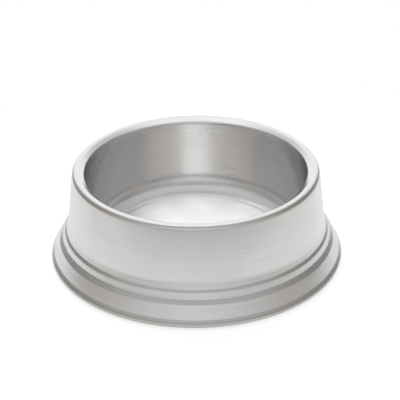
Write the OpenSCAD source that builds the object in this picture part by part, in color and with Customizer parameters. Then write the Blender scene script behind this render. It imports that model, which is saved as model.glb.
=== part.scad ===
// Double-wall steel pet food bowl. Millimetres, +Z up, ground at z = 0, axis on Z.

/* [Overall] */
// Height from the ground to the top of the rim
height = 65.5; // [62:0.5:75]
// Diameter over the hem at the foot
base_d = 200; // [196:1:210]
// Diameter over the rolled rim
rim_d = 166.9; // [163:0.1:170]
// Thickness of the bowl and shell sheet
sheet_t = 0.8; // [0.6:0.1:1]

/* [Rim] */
// Radius of the roll from the outer wall to the rim top
rim_roll_r = 3.5; // [2.8:0.1:4.2]
// Slope of the rim top down to the bowl, degrees
rim_slope = 34; // [24:1:42]
// Width of the rim, from the bowl to the outer wall
rim_w = 8.4; // [7.8:0.1:9.2]
// Radius of the rim's inner edge
rim_edge_r = 1.3; // [1.1:0.1:1.6]
// Radius of the weld bead behind the seam
weld_r = 1; // [0.6:0.1:1.3]
// Straight sheet left beside the weld
weld_land = 0.3; // [0.2:0.1:1]

/* [Inner bowl] */
// Height of the bowl floor above the ground
floor_z = 10.5; // [9:0.5:16]
// Corner radius between the bowl wall and floor
bowl_corner_r = 12.5; // [8:0.5:18]
// Least lean of the bowl wall from upright, degrees
bowl_draft = 1.2; // [0.4:0.1:3]
// Least gap between the bowl and the shell at the foot
wall_gap = 2; // [1:0.1:4]

// Rise of the stiffening panel in the bowl floor
panel_rise = 0.6; // [0.3:0.1:1.2]
// Width of the ramp round that panel
panel_ramp_w = 3; // [2:0.1:5]
// Flat land between the corner and the ramp
panel_land = 1.2; // [0.8:0.1:4]
// Radius of the bends at the ramp
panel_bend_r = 3; // [1.2:0.1:4]

/* [Outer shell] */
// Lean of the skirt from upright, degrees
skirt_lean = 24.1; // [20:0.1:28]
// Height where the wall line meets the flare at its foot
foot_z = 27.1; // [26:0.1:29]
// Radius of the bend from the wall into the flare
flare_r = 20; // [12:1:28]
// Width of the flare
flare_w = 1.3; // [1:0.1:1.6]
// Height of the flare
flare_h = 4.4; // [3.8:0.1:5]
// Radius of the cove from the flare into the upper ledge
cove_r = 2.2; // [1.4:0.1:2.6]
// Width of the upper ledge
ledge_1_w = 1.4; // [1.2:0.1:1.7]
// Drop of the upper ledge
ledge_1_drop = 1.3; // [1.1:0.1:1.6]
// Radius of the bead nose
nose_r = 1.2; // [1:0.1:1.5]
// Flare of the bead face
bead_flare = 1.3; // [0.9:0.1:1.7]
// Height of the bead face
bead_h = 4.3; // [3.8:0.1:5]
// Radius of the groove under the bead
groove_r = 3; // [1.6:0.1:3.4]
// Width of the lower ledge
ledge_2_w = 2.5; // [2.2:0.1:2.9]
// Drop of the lower ledge
ledge_2_drop = 2.3; // [2:0.1:2.7]
// Radius of the skirt shoulder
shoulder_r = 1.8; // [1.2:0.1:2.8]

/* [Hem] */
// Outside radius of the curled hem
hem_r = 2.3; // [2:0.1:2.6]
// Gap between the hem and the ground
hem_lift = 0.6; // [0.4:0.05:1]
// Length of the nip above the hem curl
hem_nip = 1.9; // [1.5:0.1:2.3]
// Radius in the nip above the hem
nip_r = 1.6; // [0.8:0.1:2]

/* [Base] */
// Thickness of the base plate sheet
plate_t = 0.8; // [0.6:0.1:1]
// Height of the middle panel's underside
panel_z = 3; // [2.4:0.1:4]
// Height of the ring channel's roof
channel_z = 6; // [5.4:0.1:6.6]
// Height of the flange against the skirt
flange_h = 4; // [3:0.1:4.6]
// Radius of the base plate bends
plate_bend_r = 1; // [0.8:0.1:1.1]

/* [Non-skid ring] */
// Width of the rubber ring
ring_w = 7.2; // [5:0.1:10]
// Gap from the ring to the channel wall
ring_gap_in = 0.3; // [0.3:0.05:0.6]
// Gap from the ring to the skirt and hem curl
ring_gap_out = 0.5; // [0.4:0.05:0.8]
// Bevel on the ring's upper edges
ring_top_bevel = 1.2; // [1:0.1:1.6]
// Bevel on the ring's lower edges
ring_foot_bevel = 0.6; // [0.3:0.1:1]

/* [Hidden] */
$fn = 96;
steel = "silver";
bend_steps = 10;
// least straight sheet between two bends
bend_land = 0.2;

function unit(v) = v / norm(v);
function left(v) = [-v[1], v[0]];
function heading(a) = [cos(a), sin(a)];

// points along an arc about c from angle a to angle b
function arc(c, r, a, b, n) = [for (i = [0:n]) c + r * heading(a + (b - a) * i / n)];

// half the angle at the corner q between p and s, and the length a bend of radius r takes from each side
function half_angle(p, q, s) = acos(unit(p - q) * unit(s - q)) / 2;
function reach(p, q, s, r) = r / tan(half_angle(p, q, s));

// arc of radius r that rounds the corner q between p and s
function bend(p, q, s, r) =
  let (u = unit(p - q), w = unit(s - q), half = acos(u * w) / 2)
  let (c = q + unit(u + w) * r / sin(half))
  let (f = q + u * r / tan(half) - c, g = q + w * r / tan(half) - c)
  let (a = atan2(f[1], f[0]), turn = atan2(g[1], g[0]) - a)
  arc(c, r, a, a + (turn > 180 ? turn - 360 : turn < -180 ? turn + 360 : turn), bend_steps);

// the point of a path moved sideways by t, to the left of the way it runs
function shifted(path, i, t) =
  let (last = len(path) - 1)
  let (before = left(unit(path[max(i, 1)] - path[max(i, 1) - 1])))
  let (after = left(unit(path[min(i, last - 1) + 1] - path[min(i, last - 1)])))
  let (mean = unit(before + after))
  path[i] + mean * t / (mean * before);

// outline of a sheet whose one face follows the path
function sheet(path, t) = concat(path, [for (i = [len(path) - 1:-1:0]) shifted(path, i, t)]);

// rim
roll_c = [rim_d / 2 - rim_roll_r, height - rim_roll_r];
bowl_r = rim_d / 2 - rim_w;
rim_top = roll_c + rim_roll_r * heading(90 + rim_slope);
rim_edge = [bowl_r, rim_top[1] - (rim_top[0] - bowl_r) * tan(rim_slope)];
edge_end_z = rim_edge[1] - rim_edge_r * tan((90 - rim_slope) / 2);
seam_z = edge_end_z - weld_r - weld_land;

// hem curl and the nip over it
curl_c = [base_d / 2 - hem_r, hem_lift + hem_r];
curl_from = 45;
curl_to = -190;
curl_top = curl_c + hem_r * heading(curl_from);
nip = curl_top + hem_nip * left(heading(curl_from));

// skirt, ledges, bead and flare, from the nip up to the foot of the wall
shoulder_z = foot_z - flare_h - ledge_1_drop - bead_h - ledge_2_drop;
shoulder = [nip[0] - (shoulder_z - nip[1]) * tan(skirt_lean), shoulder_z];
groove = shoulder + [-ledge_2_w, ledge_2_drop];
nose = groove + [-bead_flare, bead_h];
cove = nose + [-ledge_1_w, ledge_1_drop];
wall_foot = cove + [-flare_w, flare_h];

// the outer wall leaves the rim roll at a tangent and ends at its foot
wall_run = wall_foot - roll_c;
wall_lean = atan2(wall_run[1], wall_run[0]) + acos(rim_roll_r / norm(wall_run));
wall_top = roll_c + rim_roll_r * heading(wall_lean);

// the bend at the wall's foot is limited by the flare, less the cove's share of it
flare_room = norm(wall_foot - cove) - reach(wall_foot, cove, nose, cove_r) - bend_land;
flare_bend_r = min(flare_r, flare_room * tan(half_angle(wall_top, wall_foot, cove)));

shell_face = concat(
  [[bowl_r, seam_z]],
  bend([bowl_r, seam_z], rim_edge, rim_top, rim_edge_r),
  arc(roll_c, rim_roll_r, 90 + rim_slope, wall_lean, 24),
  bend(wall_top, wall_foot, cove, flare_bend_r),
  bend(wall_foot, cove, nose, cove_r),
  bend(cove, nose, groove, nose_r),
  bend(nose, groove, shoulder, groove_r),
  bend(groove, shoulder, nip, shoulder_r),
  bend(shoulder, nip, curl_top, nip_r),
  arc(curl_c, hem_r, curl_from, curl_to, 30)
);

// inner bowl
collar = [bowl_r, seam_z - weld_r - weld_land];
foot_room = wall_foot[0] - sheet_t - wall_gap - sheet_t;
bowl_lean = max(bowl_draft, atan((bowl_r - foot_room) / (collar[1] - foot_z)));
bowl_corner = [bowl_r - (collar[1] - floor_z) * tan(bowl_lean), floor_z];
corner_end = bowl_corner[0] - bowl_corner_r * tan((90 - bowl_lean) / 2);
ramp_foot = [corner_end - panel_land, floor_z];
ramp_top = ramp_foot + [-panel_ramp_w, panel_rise];
floor_mid = [0, ramp_top[1]];
bowl_face = concat(
  [[bowl_r, seam_z]],
  [collar],
  bend(collar, bowl_corner, ramp_foot, bowl_corner_r),
  bend(bowl_corner, ramp_foot, ramp_top, panel_bend_r),
  bend(ramp_foot, ramp_top, floor_mid, panel_bend_r),
  [floor_mid]
);

// inside face of the skirt, where the base plate's flange is welded
function skirt_in(z) = [shoulder[0] + (shoulder[1] - z) * tan(skirt_lean) - sheet_t / cos(skirt_lean), z];

// ring and its channel
ring_out_r = min(curl_c[0] - hem_r, skirt_in(channel_z)[0]) - ring_gap_out;
ring_in_r = ring_out_r - ring_w;
channel_r = ring_in_r - ring_gap_in;

plate_face = concat(
  [[0, panel_z]],
  bend([0, panel_z], [channel_r, panel_z], [channel_r, channel_z], plate_bend_r),
  bend([channel_r, panel_z], [channel_r, channel_z], skirt_in(channel_z), plate_bend_r),
  bend([channel_r, channel_z], skirt_in(channel_z), skirt_in(channel_z + flange_h), plate_bend_r),
  [skirt_in(channel_z + flange_h)]
);

module outer_shell() {
  color(steel) rotate_extrude() polygon(sheet(shell_face, -sheet_t));
}

module inner_bowl() {
  color(steel) rotate_extrude() polygon(sheet(bowl_face, sheet_t));
}

module rim_weld() {
  color("gray") rotate_extrude() polygon(arc([bowl_r + sheet_t, seam_z], weld_r, -90, 90, 16));
}

module base_plate() {
  color(steel) rotate_extrude() polygon(sheet(plate_face, plate_t));
}

module non_skid_ring() {
  color("black") rotate_extrude() polygon([
    [ring_in_r + ring_foot_bevel, 0],
    [ring_out_r - ring_foot_bevel, 0],
    [ring_out_r, ring_foot_bevel],
    [ring_out_r, channel_z - ring_top_bevel],
    [ring_out_r - ring_top_bevel, channel_z],
    [ring_in_r + ring_top_bevel, channel_z],
    [ring_in_r, channel_z - ring_top_bevel],
    [ring_in_r, ring_foot_bevel]
  ]);
}

outer_shell();
inner_bowl();
rim_weld();
base_plate();
non_skid_ring();
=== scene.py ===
import bpy, bmesh, math
from mathutils import Matrix, Vector


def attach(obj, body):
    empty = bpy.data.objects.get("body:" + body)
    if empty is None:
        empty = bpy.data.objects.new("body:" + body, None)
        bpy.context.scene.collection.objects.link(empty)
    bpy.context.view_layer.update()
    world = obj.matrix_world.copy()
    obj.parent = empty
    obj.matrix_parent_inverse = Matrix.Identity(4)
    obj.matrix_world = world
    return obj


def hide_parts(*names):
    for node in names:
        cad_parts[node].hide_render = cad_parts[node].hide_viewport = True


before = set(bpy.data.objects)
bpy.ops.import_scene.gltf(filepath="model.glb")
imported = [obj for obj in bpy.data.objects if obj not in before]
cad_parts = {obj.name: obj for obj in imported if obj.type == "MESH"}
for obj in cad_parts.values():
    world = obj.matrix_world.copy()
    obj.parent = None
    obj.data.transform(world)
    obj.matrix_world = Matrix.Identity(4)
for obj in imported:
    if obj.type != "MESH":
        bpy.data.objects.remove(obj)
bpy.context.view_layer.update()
scene = bpy.context.scene
mm = 0.001   # the scene is in metres; sizes are in mm unless a note says otherwise
print("frame loaded:", sorted(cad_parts))


# sRGB hex to the linear colour that shader sockets take
def linearColour(code):
    parts = [int(code[i:i + 2], 16) / 255 for i in (0, 2, 4)]
    return [c / 12.92 if c <= 0.04045 else ((c + 0.055) / 1.055) ** 2.4 for c in parts] + [1.0]


# adds a node; settings are properties or input values, links are input: output socket
def addNode(tree, kind, settings=None, links=None):
    node = tree.nodes.new(kind)
    for key, value in (settings or {}).items():
        if isinstance(key, str) and hasattr(node, key):
            setattr(node, key, value)
        else:
            node.inputs[key].default_value = value
    for key, socket in (links or {}).items():
        tree.links.new(socket, node.inputs[key])
    return node


def newMaterial(name):
    made = bpy.data.materials.new(name)
    made.use_nodes = True
    made.node_tree.nodes.clear()
    return made, made.node_tree


# outlines, as (radius, height) pairs

def heading(angle):
    return Vector((math.cos(math.radians(angle)), math.sin(math.radians(angle))))


def slope(angle):
    return math.tan(math.radians(angle))


def arcPoints(centre, radius, start, end, count):
    return [centre + radius * heading(start + (end - start) * i / count) for i in range(count + 1)]


# rounds the corner between two straight runs
def bendPoints(before, corner, after, radius, count=14):
    u, w = (before - corner).normalized(), (after - corner).normalized()
    half = u.angle(w) / 2
    centre = corner + (u + w).normalized() * radius / math.sin(half)
    f = corner + u * radius / math.tan(half) - centre
    g = corner + w * radius / math.tan(half) - centre
    start = math.degrees(math.atan2(f.y, f.x))
    turn = (math.degrees(math.atan2(g.y, g.x)) - start + 180) % 360 - 180
    return arcPoints(centre, radius, start, start + turn, count)


# closes a face line into a sheet of the given thickness, on the left of the way it runs
def sheetOutline(face, thickness):
    back = []
    for i, point in enumerate(face):
        a = (face[max(i, 1)] - face[max(i, 1) - 1]).normalized()
        j = min(i, len(face) - 2)
        b = (face[j + 1] - face[j]).normalized()
        before, after = Vector((-a.y, a.x)), Vector((-b.y, b.x))
        mean = (before + after).normalized()
        back.append(point + mean * thickness / mean.dot(before))
    return face + back[::-1]


turning = {
    "steps": 240,             # faces round the axis
    "longest": 1.6,           # longest face along the outline
    "sharpAngle": 40.0,       # degrees, edges sharper than this stay sharp
    "onAxis": 1e-6,           # points nearer the axis than this lie on it
}


# splits long runs so that smooth shading stays true on the flats
def fineOutline(outline, longest):
    fine = []
    for p, q in zip(outline, outline[1:] + outline[:1]):
        if max(p.x, q.x) < turning["onAxis"]:
            fine.append(p)
            continue
        count = max(1, math.ceil((q - p).length / longest))
        fine += [p + (q - p) * i / count for i in range(count)]
    return fine


# turns an outline round the bowl's axis; "along" keeps each point's place on the outline in mm
def turnedPiece(name, outline, longest=turning["longest"]):
    points = fineOutline(outline, longest)
    steps = turning["steps"]
    mesh = bpy.data.meshes.new(name)
    work = bmesh.new()
    along = work.verts.layers.float.new("along")
    rings, travelled = [], 0.0
    for i, p in enumerate(points):
        travelled += (p - points[i - 1]).length if i else 0.0
        if p.x < turning["onAxis"]:
            ring = [work.verts.new((0, 0, p.y * mm))]
        else:
            ring = [work.verts.new((p.x * mm * math.cos(t), p.x * mm * math.sin(t), p.y * mm))
                    for t in (2 * math.pi * k / steps for k in range(steps))]
        for v in ring:
            v[along] = travelled
        rings.append(ring)
    for a, b in zip(rings, rings[1:] + rings[:1]):
        if len(a) == 1 and len(b) == 1:
            continue
        for k in range(steps):
            n = (k + 1) % steps
            corners = [a[k % len(a)], a[n % len(a)], b[n % len(b)], b[k % len(b)]]
            corners = [v for m, v in enumerate(corners) if v not in corners[:m]]
            work.faces.new(corners)
    bmesh.ops.recalc_face_normals(work, faces=work.faces)
    work.to_mesh(mesh)
    work.free()
    mesh.shade_smooth()
    mesh.set_sharp_from_angle(angle=math.radians(turning["sharpAngle"]))
    piece = bpy.data.objects.new(name, mesh)
    scene.collection.objects.link(piece)
    return piece


# gives the faces that pass a test on (radius, height) another finish
def otherFinish(piece, finish, chosen):
    piece.data.materials.append(finish)
    index = len(piece.data.materials) - 1
    for face in piece.data.polygons:
        x, y, z = face.center
        if chosen(math.hypot(x, y) / mm, z / mm):
            face.material_index = index


# camera first

cameraView = {
    "lens": 120.34, "sensor": 36.0,
    "distance": 900.0,        # from the middle of the rim
    "elevation": 26.95,       # degrees above the ground
    "rimHeight": 64.9,        # the height it is aimed from
    "picture": 400,           # pixels, width and height of the picture
    "rimPixel": (196.13, 166.46),            # where the middle of the rim lands in it
    "roll": 0.62,             # degrees, right side of the picture up
    "clip": (0.05, 50.0),     # metres
}


def placeCamera(view):
    data = bpy.data.cameras.new("camera")
    data.lens, data.sensor_width = view["lens"], view["sensor"]
    data.clip_start, data.clip_end = view["clip"]
    camera = bpy.data.objects.new("camera", data)
    scene.collection.objects.link(camera)
    tilt = math.radians(view["elevation"])
    focal = view["lens"] / view["sensor"] * view["picture"]
    middle = view["picture"] / 2
    rim = Vector((0, 0, view["rimHeight"] * mm))
    place = rim + view["distance"] * mm * Vector((0, -math.cos(tilt), math.sin(tilt)))
    # looks at the rim, then turns until the rim lands on its pixel
    forward = (rim - place).normalized()
    right = Vector((1, 0, 0))
    up = right.cross(forward)
    offX, offY = (view["rimPixel"][0] - middle) / focal, (middle - view["rimPixel"][1]) / focal
    forward = (forward - right * offX - up * offY).normalized()
    right = (right - forward * right.dot(forward)).normalized()
    up = right.cross(forward)
    turn = math.radians(view["roll"])
    right, up = (right * math.cos(turn) - up * math.sin(turn),
                 up * math.cos(turn) + right * math.sin(turn))
    camera.matrix_world = Matrix((
        (right.x, up.x, -forward.x, place.x),
        (right.y, up.y, -forward.y, place.y),
        (right.z, up.z, -forward.z, place.z),
        (0, 0, 0, 1)))
    scene.camera = camera


placeCamera(cameraView)
print("camera placed")


# finishes

brushing = {                  # shared by all the steels
    "noiseLow": 0.3, "noiseHigh": 0.7,       # the part of the scratch noise that is used
    "cloudLow": 0.35, "cloudHigh": 0.65,     # the same for the slow smears
    "smear": 0.02,            # how much the smears change the roughness
    "depth": 0.02,            # of a scratch
    "across": 0.25,           # part of a turn from the tangent to the way highlights spread
}


# stainless steel, spun or drawn and then brushed round the axis on the lathe:
# fine rings of scratches that spread highlights up and down the wall
def brushedSteel(name, look):
    made, tree = newMaterial(name)
    place = addNode(tree, "ShaderNodeTexCoord")

    # noise drawn out round the axis, with its rings spaced along the outline
    flat = addNode(tree, "ShaderNodeVectorMath", {"operation": "MULTIPLY", 1: (1, 1, 0)},
                   {0: place.outputs["Object"]})
    outward = addNode(tree, "ShaderNodeVectorMath", {"operation": "NORMALIZE"},
                      {0: flat.outputs[0]})
    sweep = addNode(tree, "ShaderNodeVectorMath", {"operation": "SCALE", "Scale": look["sweep"]},
                    {0: outward.outputs[0]})
    along = addNode(tree, "ShaderNodeAttribute", {"attribute_name": "along"})
    lines = addNode(tree, "ShaderNodeMath", {"operation": "MULTIPLY", 1: 1 / look["scratchMm"]},
                    {0: along.outputs["Fac"]})
    lift = addNode(tree, "ShaderNodeCombineXYZ", {}, {"Z": lines.outputs[0]})
    where = addNode(tree, "ShaderNodeVectorMath", {"operation": "ADD"},
                    {0: sweep.outputs[0], 1: lift.outputs[0]})
    scratch = addNode(tree, "ShaderNodeTexNoise",
                      {"Scale": 1.0, "Detail": 2.0, "Roughness": 0.5},
                      {"Vector": where.outputs[0]})
    cloud = addNode(tree, "ShaderNodeTexNoise",
                    {"Scale": 1 / (look["cloudMm"] * mm), "Detail": 2.0},
                    {"Vector": place.outputs["Object"]})

    colour = addNode(tree, "ShaderNodeValToRGB", {}, {"Fac": scratch.outputs["Fac"]})
    darkEnd, paleEnd = colour.color_ramp.elements
    darkEnd.position, paleEnd.position = brushing["noiseLow"], brushing["noiseHigh"]
    darkEnd.color, paleEnd.color = linearColour(look["dark"]), linearColour(look["pale"])

    dull = addNode(tree, "ShaderNodeMapRange",
                   {"From Min": brushing["noiseLow"], "From Max": brushing["noiseHigh"],
                    "To Min": look["rough"] - look["roughSpread"],
                    "To Max": look["rough"] + look["roughSpread"]},
                   {"Value": scratch.outputs["Fac"]})
    smear = addNode(tree, "ShaderNodeMapRange",
                    {"From Min": brushing["cloudLow"], "From Max": brushing["cloudHigh"],
                     "To Min": -brushing["smear"], "To Max": brushing["smear"]},
                    {"Value": cloud.outputs["Fac"]})
    rough = addNode(tree, "ShaderNodeMath", {"operation": "ADD"},
                    {0: dull.outputs[0], 1: smear.outputs[0]})
    bump = addNode(tree, "ShaderNodeBump",
                   {"Strength": look["bump"], "Distance": brushing["depth"] * mm},
                   {"Height": scratch.outputs["Fac"]})
    around = addNode(tree, "ShaderNodeTangent", {"direction_type": "RADIAL", "axis": "Z"})
    steel = addNode(tree, "ShaderNodeBsdfPrincipled",
                    {"Metallic": 1.0, "Anisotropic": look["brushed"],
                     "Anisotropic Rotation": brushing["across"]},
                    {"Base Color": colour.outputs[0], "Roughness": rough.outputs[0],
                     "Normal": bump.outputs[0], "Tangent": around.outputs[0]})
    addNode(tree, "ShaderNodeOutputMaterial", {}, {"Surface": steel.outputs[0]})
    return made


# black nitrile rubber, compression moulded: dull, with a fine spark-eroded grain
def mouldedRubber(name, look):
    made, tree = newMaterial(name)
    place = addNode(tree, "ShaderNodeTexCoord")
    grain = addNode(tree, "ShaderNodeTexNoise",
                    {"Scale": 1 / (look["grainMm"] * mm), "Detail": 3.0},
                    {"Vector": place.outputs["Object"]})
    colour = addNode(tree, "ShaderNodeValToRGB", {}, {"Fac": grain.outputs["Fac"]})
    darkEnd, paleEnd = colour.color_ramp.elements
    darkEnd.color, paleEnd.color = linearColour(look["dark"]), linearColour(look["pale"])
    dull = addNode(tree, "ShaderNodeMapRange",
                   {"To Min": look["roughLow"], "To Max": look["roughHigh"]},
                   {"Value": grain.outputs["Fac"]})
    bump = addNode(tree, "ShaderNodeBump",
                   {"Strength": look["bump"], "Distance": look["depth"] * mm},
                   {"Height": grain.outputs["Fac"]})
    rubber = addNode(tree, "ShaderNodeBsdfPrincipled", {"IOR": look["ior"]},
                     {"Base Color": colour.outputs[0], "Roughness": dull.outputs[0],
                      "Normal": bump.outputs[0]})
    addNode(tree, "ShaderNodeOutputMaterial", {}, {"Surface": rubber.outputs[0]})
    return made


# outer shell: rolled rim, leaning wall, flare, cove, bead, skirt and curled hem in one sheet

shell = {
    "height": 65.5, "baseWidth": 200.0, "rimWidth": 166.9, "sheet": 0.8,
    # rim
    "rollRadius": 3.5, "rimSlope": 34.0, "rimBreadth": 8.4, "rimEdge": 1.3,
    "weldRadius": 1.0, "weldLand": 0.3,
    "buffedReach": 2.0,       # how far the buffing goes out past the middle of the roll
    # steps from the wall down to the skirt, each as (width, drop)
    "footHeight": 27.1, "flare": (1.3, 4.4), "upperLedge": (1.4, 1.3),
    "beadFace": (1.3, 4.3), "lowerLedge": (2.5, 2.3), "skirtLean": 24.1,
    "flareRadius": 20.0, "coveRadius": 2.2, "noseRadius": 1.2,
    "grooveRadius": 3.0, "shoulderRadius": 1.8,
    # hem, with its curl's start and end in degrees
    "hemRadius": 2.3, "hemLift": 0.6, "hemNip": 1.9, "nipRadius": 1.6,
    "hemStart": 45.0, "hemEnd": -190.0,
}
shellLook = {"dark": "cfcfcf", "pale": "d7d7d7", "rough": 0.29, "roughSpread": 0.012,
             "brushed": 0.6, "bump": 0.016, "sweep": 0.8, "cloudMm": 30.0,
             "scratchMm": 0.9}   # nearer 0.1 mm in truth, here and below drawn wider to show
rimLook = {"dark": "e6e6e6", "pale": "ececec", "rough": 0.2, "roughSpread": 0.02,
           "brushed": 0.3, "bump": 0.03, "sweep": 1.2, "cloudMm": 30.0, "scratchMm": 0.35}
# hem: its darker colour is painted shade, for the contact shadow and dim sides that the curl
# reflects; rougher as well
hemShadeLook = {"dark": "b2b0ad", "pale": "bebcb9", "rough": 0.34, "roughSpread": 0.03,
           "brushed": 0.6, "bump": 0.05, "sweep": 1.2, "cloudMm": 30.0, "scratchMm": 0.5}


# the corner at the top of a step, from the one at its foot
def stepUp(corner, step):
    width, drop = shell[step]
    return corner + Vector((-width, drop))


# rim and seam
rollCentre = Vector((shell["rimWidth"] / 2, shell["height"])) - Vector((shell["rollRadius"],) * 2)
bowlRadius = shell["rimWidth"] / 2 - shell["rimBreadth"]
rimTop = rollCentre + shell["rollRadius"] * heading(90 + shell["rimSlope"])
rimEdge = Vector((bowlRadius, rimTop.y - (rimTop.x - bowlRadius) * slope(shell["rimSlope"])))
edgeEnd = rimEdge.y - shell["rimEdge"] * slope((90 - shell["rimSlope"]) / 2)
seam = Vector((bowlRadius, edgeEnd - shell["weldRadius"] - shell["weldLand"]))

# hem curl, then up the skirt and the steps to the wall
curlCentre = Vector((shell["baseWidth"] / 2 - shell["hemRadius"],
                     shell["hemLift"] + shell["hemRadius"]))
curlTop = curlCentre + shell["hemRadius"] * heading(shell["hemStart"])
nip = curlTop + shell["hemNip"] * heading(shell["hemStart"] + 90)
shoulderHeight = shell["footHeight"] - sum(
    shell[step][1] for step in ("flare", "upperLedge", "beadFace", "lowerLedge"))
shoulder = Vector((nip.x - (shoulderHeight - nip.y) * slope(shell["skirtLean"]), shoulderHeight))
groove = stepUp(shoulder, "lowerLedge")
nose = stepUp(groove, "beadFace")
cove = stepUp(nose, "upperLedge")
wallFoot = stepUp(cove, "flare")

# the wall leaves the roll at a tangent
run = wallFoot - rollCentre
wallLean = math.degrees(math.atan2(run.y, run.x) + math.acos(shell["rollRadius"] / run.length))
wallTop = rollCentre + shell["rollRadius"] * heading(wallLean)

shellFace = [seam]
shellFace += bendPoints(seam, rimEdge, rimTop, shell["rimEdge"], 10)
shellFace += arcPoints(rollCentre, shell["rollRadius"], 90 + shell["rimSlope"], wallLean, 36)
shellFace += bendPoints(wallTop, wallFoot, cove, shell["flareRadius"])
shellFace += bendPoints(wallFoot, cove, nose, shell["coveRadius"])
shellFace += bendPoints(cove, nose, groove, shell["noseRadius"])
shellFace += bendPoints(nose, groove, shoulder, shell["grooveRadius"])
shellFace += bendPoints(groove, shoulder, nip, shell["shoulderRadius"])
shellFace += bendPoints(shoulder, nip, curlTop, shell["nipRadius"], 8)
shellFace += arcPoints(curlCentre, shell["hemRadius"], shell["hemStart"], shell["hemEnd"], 40)

outerShell = turnedPiece("spun_shell", sheetOutline(shellFace, -shell["sheet"]))
outerShell.data.materials.append(brushedSteel("stainless steel spun and brushed", shellLook))
# polished on a mop, so it is smoother and paler than the wall
otherFinish(outerShell, brushedSteel("stainless steel buffed rim", rimLook),
            lambda r, z: z > seam.y and r < rollCentre.x + shell["buffedReach"])
# left as the roller made it, so it is duller; its darker colour is painted shade, for the floor's
# contact shadow and dim sides that the curl reflects
otherFinish(outerShell, brushedSteel("stainless steel hem with painted shade", hemShadeLook),
            lambda r, z: z < curlTop.y)
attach(outerShell, "bowl")
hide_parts("outer_shell")
print("outer shell turned")


# inner bowl: drawn well with an upright wall, a rounded corner and a flat floor

bowl = {
    "floorHeight": 10.5, "cornerRadius": 12.5,
    "draft": 1.2,             # degrees
    "panelRise": 0.6, "rampWidth": 3.0, "panelLand": 1.2, "rampBend": 3.0,
    "litFloorReach": 9.5,         # how far the floor's finish goes up the corner, from the ramp's foot
}
bowlLook = {"dark": "dad9d9", "pale": "e0dfdf", "rough": 0.26, "roughSpread": 0.018,
            "brushed": 0.7, "bump": 0.03, "sweep": 1.2, "cloudMm": 30.0, "scratchMm": 0.35}
# floor: its paler colour is painted light, for the light the up-facing floor catches from above;
# matt and unbrushed as well
floorLitLook = {"dark": "e9eaeb", "pale": "eff0f1", "rough": 0.5, "roughSpread": 0.03,
             "brushed": 0.0, "bump": 0.04, "sweep": 2.0, "cloudMm": 20.0, "scratchMm": 0.6}

collar = Vector((bowlRadius, seam.y - shell["weldRadius"] - shell["weldLand"]))
corner = Vector((bowlRadius - (collar.y - bowl["floorHeight"]) * slope(bowl["draft"]),
                 bowl["floorHeight"]))
cornerEnd = corner.x - bowl["cornerRadius"] * slope((90 - bowl["draft"]) / 2)
rampFoot = Vector((cornerEnd - bowl["panelLand"], bowl["floorHeight"]))
rampTop = rampFoot + Vector((-bowl["rampWidth"], bowl["panelRise"]))
floorMiddle = Vector((0, rampTop.y))
bowlFace = [seam, collar]
bowlFace += bendPoints(collar, corner, rampFoot, bowl["cornerRadius"], 36)
bowlFace += bendPoints(corner, rampFoot, rampTop, bowl["rampBend"], 6)
bowlFace += bendPoints(rampFoot, rampTop, floorMiddle, bowl["rampBend"], 6)
bowlFace += [floorMiddle]

innerBowl = turnedPiece("drawn_bowl", sheetOutline(bowlFace, shell["sheet"]))
innerBowl.data.materials.append(brushedSteel("stainless steel drawn and brushed", bowlLook))
# as the mill rolled it, so it is matt, with no brushing; its paler colour is painted light, for
# the light the up-facing floor and lower corner catch from above
otherFinish(innerBowl, brushedSteel("stainless steel matt floor with painted light", floorLitLook),
            lambda r, z: r < rampFoot.x + bowl["litFloorReach"])
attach(innerBowl, "bowl")
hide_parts("inner_bowl")
print("inner bowl turned")


# base plate: pressed disc with a channel for the ring and a flange up the skirt

plate = {"sheet": 0.8, "panelHeight": 3.0, "channelHeight": 6.0, "flange": 4.0, "bend": 1.0,
         "longest": 2.5}
plateLook = {"dark": "c4c3c0", "pale": "d6d5d2", "rough": 0.36, "roughSpread": 0.05,
             "brushed": 0.4, "bump": 0.15, "sweep": 2.0, "cloudMm": 24.0, "scratchMm": 0.8}
ring = {"width": 7.2, "gapIn": 0.3, "gapOut": 0.5, "topBevel": 1.2, "footBevel": 0.6,
        "longest": 1.2}


# a point on the skirt's inside face
def skirtInside(height):
    across = shell["sheet"] / math.cos(math.radians(shell["skirtLean"]))
    outside = shoulder.x + (shoulder.y - height) * slope(shell["skirtLean"])
    return Vector((outside - across, height))


channelEdge = skirtInside(plate["channelHeight"])
lip = skirtInside(plate["channelHeight"] + plate["flange"])
ringOut = min(curlCentre.x - shell["hemRadius"], channelEdge.x) - ring["gapOut"]
ringIn = ringOut - ring["width"]
channel = ringIn - ring["gapIn"]
low, high = Vector((channel, plate["panelHeight"])), Vector((channel, plate["channelHeight"]))
panelMiddle = Vector((0, plate["panelHeight"]))
plateFace = [panelMiddle]
plateFace += bendPoints(panelMiddle, low, high, plate["bend"])
plateFace += bendPoints(low, high, channelEdge, plate["bend"])
plateFace += bendPoints(high, channelEdge, lip, plate["bend"])
plateFace += [lip]

basePlate = turnedPiece("pressed_base", sheetOutline(plateFace, plate["sheet"]), plate["longest"])
basePlate.data.materials.append(brushedSteel("stainless steel pressed plate", plateLook))
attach(basePlate, "bowl")
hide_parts("base_plate")
print("base plate turned")


# rubber ring in the channel, and the weld behind the seam

ringLook = {"dark": "161616", "pale": "2a2a2b", "roughLow": 0.6, "roughHigh": 0.85,
            "bump": 0.4, "depth": 0.08, "ior": 1.52,
            "grainMm": 0.7}   # spark grain, drawn coarser to show
weldLook = dict(plateLook, dark="8f8b84", pale="a8a49c", rough=0.45)


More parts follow.
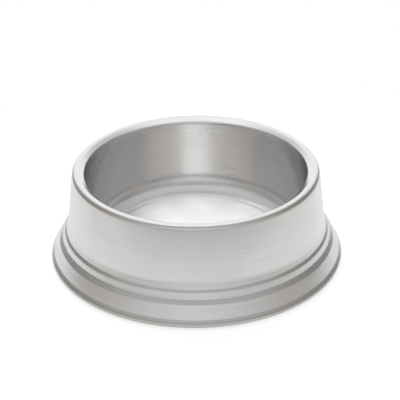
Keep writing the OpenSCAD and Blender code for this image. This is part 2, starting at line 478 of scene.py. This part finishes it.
def ringOutline():
    top, foot, bevel = plate["channelHeight"], ring["footBevel"], ring["topBevel"]
    points = arcPoints(Vector((ringIn + foot, foot)), foot, 180, 270, 6)
    points += arcPoints(Vector((ringOut - foot, foot)), foot, 270, 360, 6)
    points += [Vector((ringOut, top - bevel)), Vector((ringOut - bevel, top))]
    points += [Vector((ringIn + bevel, top)), Vector((ringIn, top - bevel))]
    return points


nonSkidRing = turnedPiece("moulded_ring", ringOutline(), ring["longest"])
nonSkidRing.data.materials.append(mouldedRubber("nitrile rubber moulded", ringLook))
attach(nonSkidRing, "ring")
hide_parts("non_skid_ring")

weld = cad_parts["rim_weld"]
weld.data.materials.clear()
weld.data.materials.append(brushedSteel("stainless steel weld", weldLook))
print("ring and weld finished")


# studio: bright backdrop that arches over the bowl, dimmer room on the camera's side

studio = {
    # light near the horizon, from straight behind the bowl (0) round to the camera's side (1)
    "lowBand": [(0.0, 1.0), (0.03, 1.0), (0.10, 0.22), (0.32, 0.25),
                (0.5, 0.38), (0.75, 0.6), (0.97, 0.83), (0.995, 0.92)],
    # its colour, and the light below the horizon past the floor, the same way round
    "bandTint": [(0.03, "ffffff"), (0.12, "fff5e5"), (0.6, "fff5e5"), (0.9, "ffffff")],
    "under": [(0.0, 0.6), (0.6, 0.6), (0.92, 0.22)],
    "horizon": 0.06,          # depth in which the one fades into the other
    "bandLeft": 1.06, "bandRight": 0.98,     # the band's share at the far left and right
    "archLeft": 1.1, "archRight": 0.9,       # the backdrop's
    "riseFrom": 0.34, "riseTo": 0.80,        # heights where the backdrop takes over
    "behindLow": 5.0,         # how much lower those heights are straight behind
    "lowFrom": -0.2, "lowTo": 0.9,           # how far back they start to sink, and end
    "back": 1.06, "front": 0.46,             # backdrop overhead and behind, room in front
    "splitFrom": -0.42, "splitTo": -0.12,    # how far back the one turns into the other
    "sides": 0.28, "sidesFrom": 0.25, "sidesTo": 0.85,   # dimmer to the left and right
    "whiteFrom": 0.03, "whiteTo": 0.10,      # how far round metal shows the white background
}
paperFloor = {
    "radius": 0.285,          # metres
    "drop": 0.3,              # below the ring, so that their faces don't meet
    "segments": 96,
    "white": 0.66, "glow": 0.62,             # as the camera and metal see it
    "plain": 0.8,             # as it lights the bowl
}


def greyStops(stops):
    return [(place, (level, level, level, 1)) for place, level in stops]


# a colour by the way round, as a ramp
def bandRamp(tree, stops, socket):
    ramp = addNode(tree, "ShaderNodeValToRGB", {}, {"Fac": socket})
    points = ramp.color_ramp.elements
    while len(points) < len(stops):
        points.new(0.5)
    for point, (place, colour) in zip(points, stops):
        point.position, point.color = place, colour
    return ramp.outputs[0]


def buildWorld(look):
    world = bpy.data.worlds.new("studio")
    scene.world = world
    world.use_nodes = True
    tree = world.node_tree
    tree.nodes.clear()

    # the way a ray goes, on the compass and in full
    place = addNode(tree, "ShaderNodeTexCoord")
    way = addNode(tree, "ShaderNodeVectorMath", {"operation": "NORMALIZE"},
                  {0: place.outputs["Generated"]})
    level = addNode(tree, "ShaderNodeVectorMath", {"operation": "MULTIPLY", 1: (1, 1, 0)},
                    {0: way.outputs[0]})
    compass = addNode(tree, "ShaderNodeVectorMath", {"operation": "NORMALIZE"},
                      {0: level.outputs[0]})
    flat = addNode(tree, "ShaderNodeSeparateXYZ", {}, {0: compass.outputs[0]})
    full = addNode(tree, "ShaderNodeSeparateXYZ", {}, {0: way.outputs[0]})
    turn = addNode(tree, "ShaderNodeMapRange", {"From Min": 1.0, "From Max": -1.0},
                   {"Value": flat.outputs["Y"]})

    # band near the horizon
    shade = addNode(tree, "ShaderNodeMapRange",
                    {"From Min": -1.0, "From Max": 1.0,
                     "To Min": look["bandLeft"], "To Max": look["bandRight"]},
                    {"Value": flat.outputs["X"]})
    band = bandRamp(tree, greyStops(look["lowBand"]), turn.outputs[0])
    low = addNode(tree, "ShaderNodeMath", {"operation": "MULTIPLY"},
                  {0: band, 1: shade.outputs[0]})

    # backdrop and room above it, dimmer to the sides
    high = addNode(tree, "ShaderNodeMapRange",
                   {"interpolation_type": "SMOOTHSTEP",
                    "From Min": look["splitFrom"], "From Max": look["splitTo"],
                    "To Min": look["front"], "To Max": look["back"]},
                   {"Value": full.outputs["Y"]})
    out = addNode(tree, "ShaderNodeMath", {"operation": "ABSOLUTE"}, {0: full.outputs["X"]})
    sides = addNode(tree, "ShaderNodeMapRange",
                    {"interpolation_type": "SMOOTHSTEP",
                     "From Min": look["sidesFrom"], "From Max": look["sidesTo"],
                     "To Min": 1.0, "To Max": look["sides"]},
                    {"Value": out.outputs[0]})
    wings = addNode(tree, "ShaderNodeMapRange",
                    {"From Min": -1.0, "From Max": 1.0,
                     "To Min": look["archLeft"], "To Max": look["archRight"]},
                    {"Value": full.outputs["X"]})
    dimmed = addNode(tree, "ShaderNodeMath", {"operation": "MULTIPLY"},
                     {0: sides.outputs[0], 1: wings.outputs[0]})
    arch = addNode(tree, "ShaderNodeMath", {"operation": "MULTIPLY"},
                   {0: high.outputs[0], 1: dimmed.outputs[0]})

    # from the one to the other, by height
    lower = addNode(tree, "ShaderNodeMapRange",
                    {"From Min": look["lowFrom"], "From Max": look["lowTo"],
                     "To Min": 1.0, "To Max": look["behindLow"]},
                    {"Value": full.outputs["Y"]})
    height = addNode(tree, "ShaderNodeMath", {"operation": "MULTIPLY"},
                     {0: full.outputs["Z"], 1: lower.outputs[0]})
    rise = addNode(tree, "ShaderNodeMapRange",
                   {"interpolation_type": "SMOOTHSTEP",
                    "From Min": look["riseFrom"], "From Max": look["riseTo"]},
                   {"Value": height.outputs[0]})
    above = addNode(tree, "ShaderNodeMapRange", {},
                    {"Value": rise.outputs[0], "To Min": low.outputs[0],
                     "To Max": arch.outputs[0]})
    below = bandRamp(tree, greyStops(look["under"]), turn.outputs[0])
    strength = addNode(tree, "ShaderNodeMapRange",
                       {"From Min": -look["horizon"], "From Max": 0.0},
                       {"Value": full.outputs["Z"], "To Min": below,
                        "To Max": above.outputs[0]})
    tintStops = [(at, linearColour(code)) for at, code in look["bandTint"]]
    tint = bandRamp(tree, tintStops, turn.outputs[0])
    hue = addNode(tree, "ShaderNodeMixRGB", {2: (1, 1, 1, 1)}, {0: rise.outputs[0], 1: tint})
    room = addNode(tree, "ShaderNodeBackground", {},
                   {"Color": hue.outputs[0], "Strength": strength.outputs[0]})

    # white background for the camera, and straight behind the bowl for metal too
    white = addNode(tree, "ShaderNodeBackground", {"Color": (1, 1, 1, 1), "Strength": 1.0})
    ray = addNode(tree, "ShaderNodeLightPath")
    mirrored = addNode(tree, "ShaderNodeMath", {"operation": "MAXIMUM"},
                       {0: ray.outputs["Is Glossy Ray"], 1: ray.outputs["Is Transmission Ray"]})
    behind = addNode(tree, "ShaderNodeMapRange",
                     {"From Min": look["whiteTo"], "From Max": look["whiteFrom"]},
                     {"Value": turn.outputs[0]})
    backdrop = addNode(tree, "ShaderNodeMath", {"operation": "MULTIPLY"},
                       {0: mirrored.outputs[0], 1: behind.outputs[0]})
    seen = addNode(tree, "ShaderNodeMath", {"operation": "MAXIMUM"},
                   {0: ray.outputs["Is Camera Ray"], 1: backdrop.outputs[0]})
    shown = addNode(tree, "ShaderNodeMixShader", {},
                    {0: seen.outputs[0], 1: room.outputs[0], 2: white.outputs[0]})
    addNode(tree, "ShaderNodeOutputWorld", {}, {"Surface": shown.outputs[0]})


# white paper sweep: matt, evenly lit, with the bowl's soft shadow; clear from below
def buildFloor(look):
    mesh = bpy.data.meshes.new("floor")
    work = bmesh.new()
    bmesh.ops.create_circle(work, cap_ends=True, segments=look["segments"], radius=look["radius"])
    work.to_mesh(mesh)
    work.free()
    ground = bpy.data.objects.new("floor", mesh)
    ground.location.z = -look["drop"] * mm
    scene.collection.objects.link(ground)
    made, tree = newMaterial("white paper sweep")
    ray = addNode(tree, "ShaderNodeLightPath")
    seen = addNode(tree, "ShaderNodeMath", {"operation": "MAXIMUM"},
                   {0: ray.outputs["Is Camera Ray"], 1: ray.outputs["Is Glossy Ray"]})
    seenAll = addNode(tree, "ShaderNodeMath", {"operation": "MAXIMUM"},
                      {0: seen.outputs[0], 1: ray.outputs["Is Transmission Ray"]})
    paper = addNode(tree, "ShaderNodeBsdfDiffuse", {"Color": (look["white"],) * 3 + (1,)})
    glow = addNode(tree, "ShaderNodeEmission",
                   {"Color": (1, 1, 1, 1), "Strength": look["glow"]})
    lit = addNode(tree, "ShaderNodeAddShader", {}, {0: paper.outputs[0], 1: glow.outputs[0]})
    plain = addNode(tree, "ShaderNodeBsdfDiffuse", {"Color": (look["plain"],) * 3 + (1,)})
    front = addNode(tree, "ShaderNodeMixShader", {},
                    {0: seenAll.outputs[0], 1: plain.outputs[0], 2: lit.outputs[0]})
    side = addNode(tree, "ShaderNodeNewGeometry")
    clear = addNode(tree, "ShaderNodeBsdfTransparent")
    both = addNode(tree, "ShaderNodeMixShader", {},
                   {0: side.outputs["Backfacing"], 1: front.outputs[0], 2: clear.outputs[0]})
    addNode(tree, "ShaderNodeOutputMaterial", {}, {"Surface": both.outputs[0]})
    mesh.materials.append(made)


# soft boxes whose reflections show in the bowl; places and sizes in metres
cards = {
    "bowl floor card": {
        "place": (0.016, 0.89, 0.465), "target": (0.016, 0.01, 0.011), "size": (0.115, 0.045),
        "brightness": 0.07, "spread": 3.0, "colour": "ffffff"},
    "bowl wall card": {
        "place": (-0.005, -0.88, -0.42), "target": (0, 0.075, 0.04), "size": (0.44, 0.3),
        "brightness": 0.545, "spread": 180.0, "colour": "f3f8ff"},
    "bowl wall wide card": {
        "place": (-0.06, -1.1, -0.53), "target": (0, 0.075, 0.04), "size": (4.4, 0.36),
        "brightness": 0.37, "spread": 180.0, "colour": "fff5e2"},
}


def softbox(name, card):
    data = bpy.data.lights.new(name, "AREA")
    wide, high = card["size"]
    data.shape, data.size, data.size_y = "RECTANGLE", wide, high
    data.energy = card["brightness"] * math.pi * wide * high
    data.color = linearColour(card["colour"])[:3]
    data.spread = math.radians(card["spread"])
    lamp = bpy.data.objects.new(name, data)
    lamp.location = card["place"]
    aim = Vector(card["target"]) - lamp.location
    lamp.rotation_euler = aim.to_track_quat("-Z", "Y").to_euler()
    scene.collection.objects.link(lamp)
    return lamp


# keeps a lamp to one piece, with nothing in its way
def lightsOnly(lamp, piece):
    lamp.data.use_shadow = False
    # else rays that meet the bowl first take their share away
    lamp.data.cycles.use_multiple_importance_sampling = False
    lit = bpy.data.collections.new(lamp.name)
    lit.objects.link(piece)
    lamp.light_linking.receiver_collection = lit


buildWorld(studio)
buildFloor(paperFloor)
for name, card in cards.items():
    lightsOnly(softbox(name, card), innerBowl)
scene.view_settings.view_transform = "Standard"
print("studio lit")
